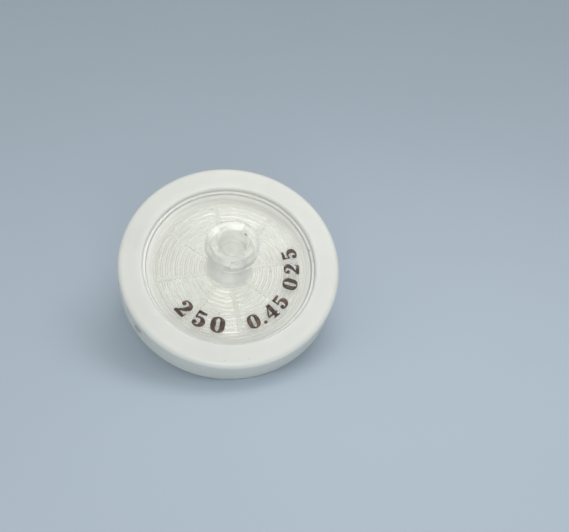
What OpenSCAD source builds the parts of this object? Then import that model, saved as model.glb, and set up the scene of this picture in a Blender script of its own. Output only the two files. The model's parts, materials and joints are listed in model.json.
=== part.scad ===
// Disc syringe filter: a membrane clamped between two moulded halves, locked by a ring
// moulded round their edges, with a luer lock socket on the inlet half and a luer slip
// tip on the outlet half. Millimetres.
//
// Every module is written about the filter's own axis: z = 0 is the seal plane, where the
// inlet half meets the outlet half, and +z points to the inlet. laid() then puts the
// whole filter down as it lies on a bench, on its rim and on the end of its tip.

/* [Membrane] */
// Diameter of the membrane disc, which the filter is built about
membrane_d = 25; // [24:0.1:27]
// Thickness of the membrane
membrane_t = 0.15; // [0.1:0.01:0.25]
// Radial clearance of the membrane in its seat
membrane_gap = 0.05; // [0.02:0.01:0.1]

/* [Rim] */
// Thickness of the rim outside the flanges, at its parting line
rim_wall = 1.9; // [1.5:0.05:2.4]
// Thickness of the rim from face to face
rim_h = 5.6; // [5.2:0.1:6.4]
// Reach of each lip of the rim over the flanges
rim_lip_reach = 1.75; // [1.3:0.05:1.9]
// Thickness of each lip
rim_lip_t = 1.1; // [0.9:0.05:1.3]
// Draft of the rim's side wall in degrees
rim_draft = 2.5; // [0.5:0.5:4]
// Radius of the rim's upper outer edge
rim_top_round = 0.8; // [0.3:0.05:0.9]
// Radius of the rim's lower outer edge
rim_bottom_round = 0.4; // [0.3:0.05:0.8]
// Radius of the edge round each opening
rim_window_round = 0.4; // [0.1:0.05:0.5]
// Diameter of the gate scar on the side wall
gate_d = 1.2; // [0.5:0.1:1.6]
// Height of the gate scar
gate_h = 0.12; // [0.05:0.01:0.2]
// Direction of the gate scar round the rim, in degrees clockwise from +y
gate_angle = 242; // [0:1:359]

/* [Housing halves] */
// Width of the flanges outside the membrane
flange_margin = 2.1; // [1.8:0.05:2.6]
// Width of the flat land next to the rim
land_w = 0.4; // [0.3:0.05:0.8]
// Height of the step from the land down to the slope
land_step_h = 0.4; // [0.2:0.05:0.5]
// Distance that the step leans inwards over its height
land_step_w = 0.15; // [0.05:0.05:0.3]
// Width of the slope from the step down to the flat plate
slope_w = 1.15; // [0.8:0.05:1.6]
// Depth of the land below the rim's face
land_drop = 0.85; // [0.6:0.05:0.95]
// Thickness of the plates
plate_t = 1.25; // [1:0.05:1.5]

/* [Flow channels] */
// Number of channels that run out from the middle
spoke_count = 8; // [4:1:12]
// Width of those channels
spoke_w = 0.55; // [0.3:0.05:0.8]
// Direction of the first channel, in degrees clockwise from +y
spoke_angle = -2.4; // [-45:0.1:45]
// Distance from one ring groove to the next
groove_pitch = 0.72; // [0.6:0.01:1]
// Width of a ring groove
groove_w = 0.38; // [0.2:0.01:0.5]
// Depth of grooves and channels
groove_depth = 0.35; // [0.2:0.05:0.5]
// Number of ring grooves
groove_count = 11; // [6:1:11]
// Wall between the outermost ring groove and the slope
groove_margin = 0.25; // [0.1:0.05:0.6]

/* [Luer socket] */
// Height of the mouth above the rim's face
hub_h = 7.3; // [7:0.1:9]
// Wall of the collar round the mouth
collar_wall = 1.2; // [1:0.05:1.3]
// Height of the collar that carries the threads
collar_h = 2.75; // [2.6:0.05:3.2]
// Step from the collar in to the hub
collar_step = 0.2; // [0.1:0.05:0.4]
// Growth of the hub's radius from the collar down to the plate
hub_flare = 0.15; // [0:0.05:0.3]
// Radius of the fillet at the hub's foot
hub_fillet = 0.35; // [0.2:0.05:0.6]
// Diameter of the socket at its mouth
socket_mouth_d = 4.3; // [4.27:0.01:4.315]
// Depth of the socket's taper
socket_depth = 8.2; // [7.5:0.1:8.5]
// Width of the lead-in round the mouth
socket_lead_in = 0.4; // [0.2:0.05:0.45]
// Diameter of the passage below the taper
inlet_passage_d = 3; // [2:0.1:3.4]

/* [Lock thread] */
// Distance that the thread stands out of the collar
thread_depth = 0.6; // [0.5:0.05:0.8]
// Height of a thread at the collar
thread_root_h = 1.75; // [1.5:0.05:2.1]
// Height of the slope of each flank
thread_bevel = 0.4; // [0.2:0.05:0.6]
// Drop of a thread over its half turn
thread_drop = 0.6; // [0.4:0.05:1]
// Arc that each of the two threads covers, in degrees
thread_arc = 210; // [190:5:230]
// Direction of the first thread's start, in degrees clockwise from +y
thread_angle = 11; // [0:1:90]
// Drop of the parting tabs below the mouth
tab_drop = 2.5; // [2.4:0.05:3]
// Thickness of the parting tabs
tab_t = 0.3; // [0.2:0.05:0.4]
// Distance that the parting tabs stay inside the thread's crests
tab_inset = 0.1; // [0.05:0.05:0.3]
// Arc of each parting tab, in degrees
tab_arc = 34; // [20:2:60]
// Direction of the first parting tab's middle, in degrees clockwise from +y
tab_angle = 140; // [90:5:180]

/* [Luer tip] */
// Distance that the tip reaches past the rim's lower face
tip_reach = 9.4; // [8:0.1:11]
// Diameter of the tip's end
tip_d = 3.95; // [3.93:0.01:3.99]
// Radius of the edge of the tip's end
tip_round = 0.2; // [0.1:0.05:0.3]
// Diameter of the passage at the tip's end
tip_passage_d = 2.3; // [1.8:0.1:2.6]
// Diameter of the passage at the plate
outlet_passage_d = 2.6; // [2:0.1:3]
// Step from the tip's foot out to the edge of its boss
boss_step = 0.85; // [0.5:0.05:1.2]
// Distance that the boss stands past the rim's lower face
boss_reach = 0.3; // [0.1:0.05:0.6]

/* [Hidden] */

LUER_TAPER = 0.06;      // loss of diameter over length, on every luer cone
OVERCUT = 0.5;          // how far a cutter runs past the faces that it opens
ROUND_STEPS = 8;        // straight pieces in a quarter-turn edge
THREAD_STARTS = 2;
ROOT_SINK = 0.15;       // how far a thread's or tab's root lies inside the wall
THREAD_START_DROP = 0.12; // from the mouth to the highest place of a thread's flank
$fn = 180;

flange_r = membrane_d / 2 + flange_margin;
rim_r = flange_r + rim_wall;
rim_window_r = flange_r - rim_lip_reach;
rim_top_z = rim_h / 2;
rim_bottom_z = -rim_h / 2;
rim_parting_z = rim_top_z - rim_top_round;
rim_foot_r = rim_r - (rim_parting_z - rim_bottom_z) * tan(rim_draft);

land_r = rim_window_r - land_w;
slope_r = land_r - land_step_w;
face_r = slope_r - slope_w;
inlet_face_z = plate_t;
outlet_face_z = -membrane_t - plate_t;

mouth_z = rim_top_z + hub_h;
socket_mouth_r = socket_mouth_d / 2;
socket_end_r = socket_mouth_r - socket_depth * LUER_TAPER / 2;
collar_r = socket_mouth_r + collar_wall;
hub_top_r = collar_r - collar_step;
hub_base_r = hub_top_r + hub_flare;
thread_r = collar_r + thread_depth;

tip_z = rim_bottom_z - tip_reach;
boss_z = rim_bottom_z - boss_reach;
tip_r = tip_d / 2;
tip_root_r = tip_r + (boss_z - tip_z) * LUER_TAPER / 2;
boss_r = tip_root_r + boss_step;

groove_last_r = face_r - groove_margin - groove_w;
groove_first_r = groove_last_r - (groove_count - 1) * groove_pitch;

// The two round edges that the filter lies on, as centre radius and centre height.
rim_edge = [rim_foot_r - rim_bottom_round, rim_bottom_z + rim_bottom_round];
tip_edge = [tip_r - tip_round, tip_z + tip_round];
edge_gap = rim_edge - tip_edge;

// Tilt at which both round edges reach the same height: with both lowest points level,
// gap_z cos(t) - gap_r sin(t) equals the difference of the two edge radii.
lay_tilt = acos((rim_bottom_round - tip_round) / norm(edge_gap)) - atan2(edge_gap[0], edge_gap[1]);
lay_z = rim_edge[0] * sin(lay_tilt) - rim_edge[1] * cos(lay_tilt) + rim_bottom_round;

// Reach of the laid rim towards -y and +y, which centres the filter between them.
lay_near = (rim_r - rim_top_round) * cos(lay_tilt) + rim_parting_z * sin(lay_tilt) + rim_top_round;
lay_far = rim_edge[0] * cos(lay_tilt) - rim_edge[1] * sin(lay_tilt) + rim_bottom_round;
lay_y = (lay_near - lay_far) / 2;

// Points of an arc about [r, z], from one angle to the other.
function arc(centre, radius, from, to) =
    [for (i = [0:ROUND_STEPS])
        let (a = from + (to - from) * i / ROUND_STEPS)
            centre + radius * [cos(a), sin(a)]];

// A direction given clockwise from +y, as the usual angle from +x.
function heading(clockwise) = 90 - clockwise;

// Half section of the space that the two flanges and their lands fill inside the rim.
function flange_section() = [
    [0, rim_bottom_z + land_drop],
    [rim_window_r, rim_bottom_z + land_drop],
    [rim_window_r, rim_bottom_z + rim_lip_t],
    [flange_r, rim_bottom_z + rim_lip_t],
    [flange_r, rim_top_z - rim_lip_t],
    [rim_window_r, rim_top_z - rim_lip_t],
    [rim_window_r, rim_top_z - land_drop],
    [0, rim_top_z - land_drop]
];

// Half section of a thread about its own middle. Its flanks run straight on into the
// collar's wall, where they are deeper by the same slope.
function thread_section() =
    let (
        crest_half = thread_root_h / 2 - thread_bevel,
        sunk_half = thread_root_h / 2 + ROOT_SINK * thread_bevel / thread_depth
    )
    [[collar_r - ROOT_SINK, -sunk_half], [thread_r, -crest_half],
     [thread_r, crest_half], [collar_r - ROOT_SINK, sunk_half]];

module laid() {
    translate([0, lay_y, lay_z]) rotate([lay_tilt, 0, 0]) children();
}

// One thread, running clockwise and down from its start at +x. A tilted ring falls from
// its high side to its low side just as one start of a coarse thread does over half a
// turn, and its surfaces stay true cones and cylinders.
module thread() {
    overlap = thread_arc - 180;
    translate([0, 0, mouth_z - THREAD_START_DROP - (thread_root_h + thread_drop) / 2])
        rotate(-overlap / 2)
            rotate([0, -asin(thread_drop / (2 * thread_r)), 0])
                rotate(overlap / 2 - thread_arc)
                    rotate_extrude(angle = thread_arc)
                        polygon(thread_section());
}

// One parting tab, a thin flat ledge below the thread, running anticlockwise from +x.
module tab() {
    translate([0, 0, mouth_z - tab_drop - tab_t])
        rotate_extrude(angle = tab_arc)
            translate([hub_top_r - ROOT_SINK, 0])
                square([thread_r - tab_inset - hub_top_r + ROOT_SINK, tab_t]);
}

// Ring grooves and spokes that carry the liquid, cut from floor_z towards the membrane.
module flow_channels(floor_z) {
    translate([0, 0, floor_z]) {
        for (i = [0:groove_count - 1])
            rotate_extrude()
                translate([groove_first_r + i * groove_pitch, 0])
                    square([groove_w, groove_depth]);
        for (i = [0:spoke_count - 1])
            rotate(heading(spoke_angle + 360 * i / spoke_count))
                translate([0, -spoke_w / 2, 0])
                    cube([groove_last_r + groove_w / 2, spoke_w, groove_depth]);
    }
}

// The ring moulded round both flanges: its outside, less the halves that it holds.
module overmold_ring() {
    round_top = [rim_r - rim_top_round, rim_parting_z];
    window_top = [rim_window_r + rim_window_round, rim_top_z - rim_window_round];
    window_foot = [rim_window_r + rim_window_round, rim_bottom_z + rim_window_round];
    color([0.93, 0.94, 0.91]) laid() {
        rotate_extrude()
            difference() {
                polygon(concat(
                    arc(window_foot, rim_window_round, 180, 270),
                    arc(rim_edge, rim_bottom_round, -90, -rim_draft),
                    arc(round_top, rim_top_round, 0, 90),
                    arc(window_top, rim_window_round, 90, 180)));
                polygon(flange_section());
            }
        rotate(heading(gate_angle))
            translate([(rim_r + rim_foot_r) / 2, 0, 0])
                rotate([0, 90 + rim_draft, 0])
                    translate([0, 0, -OVERCUT])
                        cylinder(d = gate_d, h = OVERCUT + gate_h);
    }
}

// Inlet half: plate, flange and hub in one moulding, with the thread round the mouth.
module inlet_housing() {
    foot = [hub_base_r + hub_fillet, inlet_face_z + hub_fillet];
    color([0.88, 0.91, 0.92, 0.6]) laid()
        difference() {
            union() {
                rotate_extrude()
                    polygon(concat(
                        [[0, 0],
                         [flange_r, 0],
                         [flange_r, rim_top_z - rim_lip_t],
                         [rim_window_r, rim_top_z - rim_lip_t],
                         [rim_window_r, rim_top_z - land_drop],
                         [land_r, rim_top_z - land_drop],
                         [slope_r, rim_top_z - land_drop - land_step_h],
                         [face_r, inlet_face_z]],
                        arc(foot, hub_fillet, 270, 180),
                        [[hub_top_r, mouth_z - collar_h],
                         [collar_r, mouth_z - collar_h],
                         [collar_r, mouth_z],
                         [0, mouth_z]]));
                for (i = [0:THREAD_STARTS - 1])
                    rotate(heading(thread_angle + 360 * i / THREAD_STARTS)) thread();
                for (i = [0:THREAD_STARTS - 1])
                    rotate(heading(tab_angle + 360 * i / THREAD_STARTS + tab_arc / 2)) tab();
            }
            socket();
            flow_channels(0);
        }
}

// Everything cut out along the axis of the inlet half.
module socket() {
    lead_in_r = socket_mouth_r + socket_lead_in;
    taper_z = mouth_z - socket_depth;
    translate([0, 0, -OVERCUT])
        cylinder(d = inlet_passage_d, h = taper_z + 2 * OVERCUT);
    translate([0, 0, taper_z])
        cylinder(r1 = socket_end_r, r2 = socket_mouth_r, h = socket_depth);
    translate([0, 0, mouth_z - socket_lead_in])
        cylinder(r1 = socket_mouth_r - socket_lead_in * LUER_TAPER / 2,
                 r2 = lead_in_r, h = socket_lead_in);
    translate([0, 0, mouth_z])
        cylinder(r = lead_in_r, h = OVERCUT);
}

// Outlet half: plate, flange, boss and tapered tip in one moulding, with the seat that
// the membrane lies in.
module outlet_housing() {
    color([0.85, 0.89, 0.92, 0.6]) laid()
        difference() {
            rotate_extrude()
                polygon(concat(
                    [[0, 0], [0, tip_z]],
                    arc(tip_edge, tip_round, 270, 360),
                    [[tip_root_r, boss_z],
                     [boss_r, boss_z],
                     [boss_r, outlet_face_z],
                     [face_r, outlet_face_z],
                     [slope_r, rim_bottom_z + land_drop + land_step_h],
                     [land_r, rim_bottom_z + land_drop],
                     [rim_window_r, rim_bottom_z + land_drop],
                     [rim_window_r, rim_bottom_z + rim_lip_t],
                     [flange_r, rim_bottom_z + rim_lip_t],
                     [flange_r, 0]]));
            translate([0, 0, -membrane_t])
                cylinder(r = membrane_d / 2 + membrane_gap, h = membrane_t + OVERCUT);
            translate([0, 0, tip_z])
                cylinder(d1 = tip_passage_d, d2 = outlet_passage_d, h = -tip_z);
            translate([0, 0, tip_z - OVERCUT])
                cylinder(d = tip_passage_d, h = 2 * OVERCUT);
            flow_channels(-membrane_t - groove_depth);
        }
}

// The filter disc, flat in its seat under the inlet half.
module membrane() {
    color([0.97, 0.97, 0.96]) laid()
        translate([0, 0, -membrane_t])
            cylinder(d = membrane_d, h = membrane_t);
}

overmold_ring();
inlet_housing();
outlet_housing();
membrane();
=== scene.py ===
"""Looks of a disc syringe filter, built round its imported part.

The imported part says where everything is. The record's inlet mount gives the mouth of the
luer socket and the direction of the filter's own axis, and every piece is worked out about
that axis in millimetres: z = 0 is the seal plane between the two halves, +z runs to the
inlet, and a heading is an angle clockwise from +y, seen from the inlet. `Lie.place` carries
the points to the part's frame, in metres.
"""

import json
import logging
import math
from dataclasses import dataclass
from enum import Enum
from typing import Sequence

import bpy
import numpy as np
from mathutils import Matrix, Vector


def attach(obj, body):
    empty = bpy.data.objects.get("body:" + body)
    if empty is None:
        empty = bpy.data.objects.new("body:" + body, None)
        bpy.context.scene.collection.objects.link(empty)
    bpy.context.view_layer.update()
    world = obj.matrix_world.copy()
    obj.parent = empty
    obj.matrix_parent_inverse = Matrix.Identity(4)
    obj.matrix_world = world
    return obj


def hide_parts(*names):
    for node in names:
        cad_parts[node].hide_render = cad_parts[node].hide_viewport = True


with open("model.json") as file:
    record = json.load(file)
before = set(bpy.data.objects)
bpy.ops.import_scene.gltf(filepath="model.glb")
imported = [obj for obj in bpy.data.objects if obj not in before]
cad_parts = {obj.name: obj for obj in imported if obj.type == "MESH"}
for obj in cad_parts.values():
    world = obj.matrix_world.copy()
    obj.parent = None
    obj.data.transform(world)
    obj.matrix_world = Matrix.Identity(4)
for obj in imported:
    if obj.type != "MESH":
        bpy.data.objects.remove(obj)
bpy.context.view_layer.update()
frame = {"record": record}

log = logging.getLogger("syringe_filter")

Colour = tuple[float, float, float]
Corner = tuple[float, float, float]
Mesh = tuple[np.ndarray, np.ndarray]
Span = tuple[float, float]
Socket = bpy.types.NodeSocket

MM = 0.001
LUER_TAPER = 0.06  # a luer cone's change of diameter over its length
EDGE_STEPS = 5  # pieces of a small round edge
CURVE_STEPS = 10  # pieces of a digit's stroke from one point of its path to the next
SHARP_ANGLE = math.radians(38)  # a steeper edge between two faces isn't smoothed
THICK = "thick"  # the attribute that marks how thick a wall looks
MIDDLE: Span = (0.3, 0.7)  # the span that most of a noise pattern's values keep to


# ---------------------------------------------------------------- sizes and placing


@dataclass(frozen=True)
class Sizes:
    """The filter's driving sizes and what follows from them, in millimetres."""

    membrane_r: float = 12.5
    membrane_t: float = 0.15
    flange_margin: float = 2.1
    rim_wall: float = 1.9
    rim_h: float = 5.6
    lip_reach: float = 1.75
    lip_t: float = 1.1
    land_w: float = 0.4
    step_h: float = 0.4
    step_w: float = 0.15
    slope_w: float = 1.15
    land_drop: float = 0.85
    plate_t: float = 1.25
    groove_margin: float = 0.25
    hub_h: float = 7.3
    tip_reach: float = 9.4
    fit_gap: float = 0.015
    plate_end: float = 0.25
    slope_share: float = 0.6

    @property
    def flange_r(self) -> float:
        """Radius of the flanges inside the rim."""
        return self.membrane_r + self.flange_margin

    @property
    def rim_r(self) -> float:
        """Radius of the rim at its parting line."""
        return self.flange_r + self.rim_wall

    @property
    def window_r(self) -> float:
        """Radius of the opening in each face of the rim."""
        return self.flange_r - self.lip_reach

    @property
    def land_r(self) -> float:
        """Inner radius of the flat land beside the rim."""
        return self.window_r - self.land_w

    @property
    def slope_r(self) -> float:
        """Radius of the foot of the step between the land and the slope."""
        return self.land_r - self.step_w

    @property
    def face_r(self) -> float:
        """Radius of the flat plate inside the slope."""
        return self.slope_r - self.slope_w

    @property
    def plate_r(self) -> float:
        """Radius at which the plate's even part ends, just inside the slope's foot."""
        return self.face_r - self.plate_end

    @property
    def rim_z(self) -> float:
        """Height of the rim's face above the seal plane, and its depth below."""
        return self.rim_h / 2

    @property
    def mouth_z(self) -> float:
        """Height of the luer socket's mouth."""
        return self.rim_z + self.hub_h

    @property
    def tip_z(self) -> float:
        """Height of the tip's end, below the seal plane."""
        return -self.rim_z - self.tip_reach

    def edge_share(self, radius: np.ndarray) -> np.ndarray:
        """How milky a half is at a radius: 0 on the plate, 1 under the land.

        Formula: slope_share, spread evenly over the slope, plus the rest over the step.

        Args:
            radius: radii in millimetres.

        Returns:
            Marks from 0 to 1.
        """
        slope = np.clip((radius - self.face_r) / (self.slope_r - self.face_r), 0, 1)
        step = np.clip((radius - self.slope_r) / self.step_w, 0, 1)
        return self.slope_share * slope + (1 - self.slope_share) * step


@dataclass(frozen=True)
class Lie:
    """Where the filter's own axes lie in the part's frame."""

    origin: np.ndarray
    axes: np.ndarray

    @classmethod
    def from_record(cls, record: dict, mouth_z: float) -> "Lie":
        """Finds the filter's axes from the inlet mount of the record.

        Args:
            record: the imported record.
            mouth_z: height of the socket's mouth above the seal plane, in millimetres.

        Returns:
            The lie, with the axes as the columns of a matrix.
        """
        mount = next(m for m in record["mounts"] if m["name"] == "inlet_luer_socket")
        up = np.array(mount["axis"], dtype=float)
        up /= np.linalg.norm(up)
        right = np.array([1.0, 0.0, 0.0])
        away = np.cross(up, right)
        origin = np.array(mount["pos_m"], dtype=float) - up * mouth_z * MM
        return cls(origin, np.stack([right, away, up], axis=1))

    def place(self, points: np.ndarray) -> np.ndarray:
        """Carries points from the filter's axes, in millimetres, to the part's, in metres."""
        return self.origin + (points * MM) @ self.axes.T


# ---------------------------------------------------------------- surfaces


def full_turn(count: int) -> np.ndarray:
    """Evenly spaced headings once round, in radians."""
    return np.linspace(0, 2 * np.pi, count, endpoint=False)


def arc(centre: tuple[float, float], radius: float, start: float, end: float, steps: int
        ) -> np.ndarray:
    """Points of a round edge in a half section.

    Formula: centre plus radius times (cos a, sin a), with a even from start to end.

    Args:
        centre: radius and height of the edge's centre.
        radius: radius of the edge.
        start: first angle in degrees, from +r towards +z.
        end: last angle in degrees.
        steps: number of pieces.

    Returns:
        An array of steps + 1 rows of radius and height.
    """
    a = np.radians(np.linspace(start, end, steps + 1))
    return np.array(centre) + radius * np.stack([np.cos(a), np.sin(a)], axis=1)


def line(start: tuple[float, float], end: tuple[float, float], steps: int) -> np.ndarray:
    """Evenly spaced points of a straight edge, with its start and without its end."""
    t = np.linspace(0.0, 1.0, steps + 1)[:-1, None]
    return np.array(start) + t * (np.array(end) - np.array(start))


def rounded(corners: Sequence[Corner]) -> np.ndarray:
    """Open section through corners, each rounded by a radius of its own.

    Formula: a round edge leaves each side at radius times tan(half the turn) from the
    corner, and its points turn evenly from one side's normal to the other's.

    Args:
        corners: radius, height and edge radius of each corner; 0 leaves a corner sharp.

    Returns:
        Rows of radius and height.
    """
    points = np.array(corners)[:, :2]
    rows = [points[:1]]
    for before, corner, after, (_, _, edge) in zip(points, points[1:], points[2:], corners[1:]):
        if edge == 0:
            rows.append(corner[None])
            continue
        come = (corner - before) / np.linalg.norm(corner - before)
        go = (after - corner) / np.linalg.norm(after - corner)
        turn = math.atan2(come[0] * go[1] - come[1] * go[0], float(come @ go))
        side = math.copysign(1.0, turn)
        normal = side * np.array([-come[1], come[0]])
        centre = corner - come * edge * abs(math.tan(turn / 2)) + normal * edge
        start = math.degrees(math.atan2(-normal[1], -normal[0]))
        rows.append(arc(tuple(centre), edge, start, start + math.degrees(turn), EDGE_STEPS))
    rows.append(points[-1:])
    return np.concatenate(rows)


def around(heading: np.ndarray, radius: np.ndarray, height: np.ndarray) -> np.ndarray:
    """Points at a heading, radius and height about the filter's axis.

    Formula: x = r sin h, y = r cos h, z = height, with h clockwise from +y.

    Args:
        heading: headings in radians.
        radius: radii, of a shape that goes with the headings.
        height: heights, likewise.

    Returns:
        An array whose last axis is x, y, z.
    """
    heading, radius, height = np.broadcast_arrays(heading, radius, height)
    return np.stack([radius * np.sin(heading), radius * np.cos(heading), height], axis=-1)


def grid_faces(rows: int, columns: int, close_rows: bool, close_columns: bool) -> np.ndarray:
    """Quads of a grid of points, numbered row by row.

    Args:
        rows: number of rows of points.
        columns: number of points in a row.
        close_rows: whether the last row joins the first.
        close_columns: whether the last column joins the first.

    Returns:
        An array of quads, whose normals are row direction cross column direction.
    """
    i = np.arange(rows if close_rows else rows - 1)[:, None]
    j = np.arange(columns if close_columns else columns - 1)[None, :]
    i2, j2 = (i + 1) % rows, (j + 1) % columns
    corners = [i * columns + j, i2 * columns + j, i2 * columns + j2, i * columns + j2]
    return np.stack([c.ravel() for c in np.broadcast_arrays(*corners)], axis=1)


def torus_mesh(points: np.ndarray) -> Mesh:
    """Mesh of a grid that closes both ways, from its points in rows and columns."""
    rows, columns = points.shape[:2]
    return points.reshape(-1, 3), grid_faces(rows, columns, True, True)


def lathe_mesh(section: np.ndarray, headings: np.ndarray) -> Mesh:
    """Solid turned from an open half section whose two ends lie on the axis.

    Formula: every point of the section but its ends goes round at all headings, and each
    end is one point on the axis, joined to its neighbour by a fan of triangles.

    Args:
        section: rows of radius and height, the first and last with radius 0.
        headings: headings in radians, once round.

    Returns:
        Points and faces, each fan's triangles written as quads with the pole doubled.
    """
    count = len(headings)
    body = around(headings[None, :], section[1:-1, :1], section[1:-1, 1:]).reshape(-1, 3)
    poles = np.array([[0.0, 0.0, section[0, 1]], [0.0, 0.0, section[-1, 1]]])
    rows = len(section) - 2
    j = np.arange(count)
    j2 = (j + 1) % count
    low = np.full(count, rows * count)
    high = low + 1
    last = (rows - 1) * count
    faces = np.concatenate([
        grid_faces(rows, count, False, True),
        np.stack([low, j, j2, low], axis=1),
        np.stack([last + j, high, high, last + j2], axis=1),
    ])
    return np.concatenate([body, poles]), faces


def joined(meshes: Sequence[Mesh]) -> Mesh:
    """One mesh made of several.

    Args:
        meshes: the meshes.

    Returns:
        All their points, and all their faces with the points numbered on.
    """
    starts = np.cumsum([0] + [len(points) for points, _ in meshes[:-1]])
    return (np.concatenate([points for points, _ in meshes]),
            np.concatenate([faces + start for (_, faces), start in zip(meshes, starts)]))


def signed_volume(points: np.ndarray, faces: np.ndarray) -> float:
    """Volume inside a closed mesh, positive where its faces point outwards.

    Formula: each quad is two triangles, and each triangle adds a sixth of the triple
    product of its corners.

    Args:
        points: the mesh's points.
        faces: its quads.

    Returns:
        The volume, in the points' unit cubed.
    """
    a, b, c, d = (points[faces[:, k]] for k in range(4))
    parts = np.einsum("ij,ij->i", a, np.cross(b, c)) + np.einsum("ij,ij->i", a, np.cross(c, d))
    return float(parts.sum() / 6)


def add_piece(name: str, mesh: Mesh, lie: Lie, material: bpy.types.Material) -> bpy.types.Object:
    """Makes an object of a mesh given about the filter's axis.

    Args:
        name: the piece's name.
        mesh: points in millimetres and quads; a quad that names a point twice in a row, or
            its first point last, becomes a triangle.
        lie: where the filter's axes lie.
        material: what it is finished in.

    Returns:
        The object, at the origin, with its place in its mesh.
    """
    points, faces = mesh
    if signed_volume(points, faces) < 0:
        faces = faces[:, ::-1]
    keep = faces != np.roll(faces, 1, axis=1)
    sides = keep.sum(axis=1)
    data = bpy.data.meshes.new(name)
    data.vertices.add(len(points))
    data.vertices.foreach_set("co", lie.place(points).astype(np.float32).ravel())
    data.loops.add(int(sides.sum()))
    data.loops.foreach_set("vertex_index", faces[keep].astype(np.int32))
    data.polygons.add(len(faces))
    starts = np.concatenate([[0], np.cumsum(sides)[:-1]])
    data.polygons.foreach_set("loop_start", starts.astype(np.int32))
    data.update(calc_edges=True)
    data.validate()
    data.polygons.foreach_set("use_smooth", np.ones(len(data.polygons), dtype=bool))
    data.set_sharp_from_angle(angle=SHARP_ANGLE)
    data.materials.append(material)
    obj = bpy.data.objects.new(name, data)
    bpy.context.scene.collection.objects.link(obj)
    return obj


class Part:
    """A sub-assembly that becomes one piece of the visual model."""

    name: str
    slot: str
    node: str = ""

    def mesh(self) -> Mesh:
        """Points about the filter's axis, in millimetres, and faces."""
        raise NotImplementedError

    def thickness(self, points: np.ndarray) -> np.ndarray | None:
        """Marks of how thick the wall looks at each point, where the finish reads them."""
        return None

    def build(self, lie: Lie, material: bpy.types.Material) -> bpy.types.Object:
        """Makes the piece, and has it ride on the body and stand for its node.

        Args:
            lie: where the filter's axes lie.
            material: what it is finished in.

        Returns:
            The object, at the origin, with its place in its mesh.
        """
        mesh = self.mesh()
        piece = add_piece(self.name, mesh, lie, material)
        thick = self.thickness(mesh[0])
        if thick is not None:
            marks = piece.data.attributes.new(THICK, "FLOAT", "POINT")
            marks.data.foreach_set("value", thick.astype(np.float32))
        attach(piece, "root")
        if self.node:
            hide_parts(self.node)
        log.info("%s: %d faces", piece.name, len(piece.data.polygons))
        return piece


# ---------------------------------------------------------------- finishes


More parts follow.
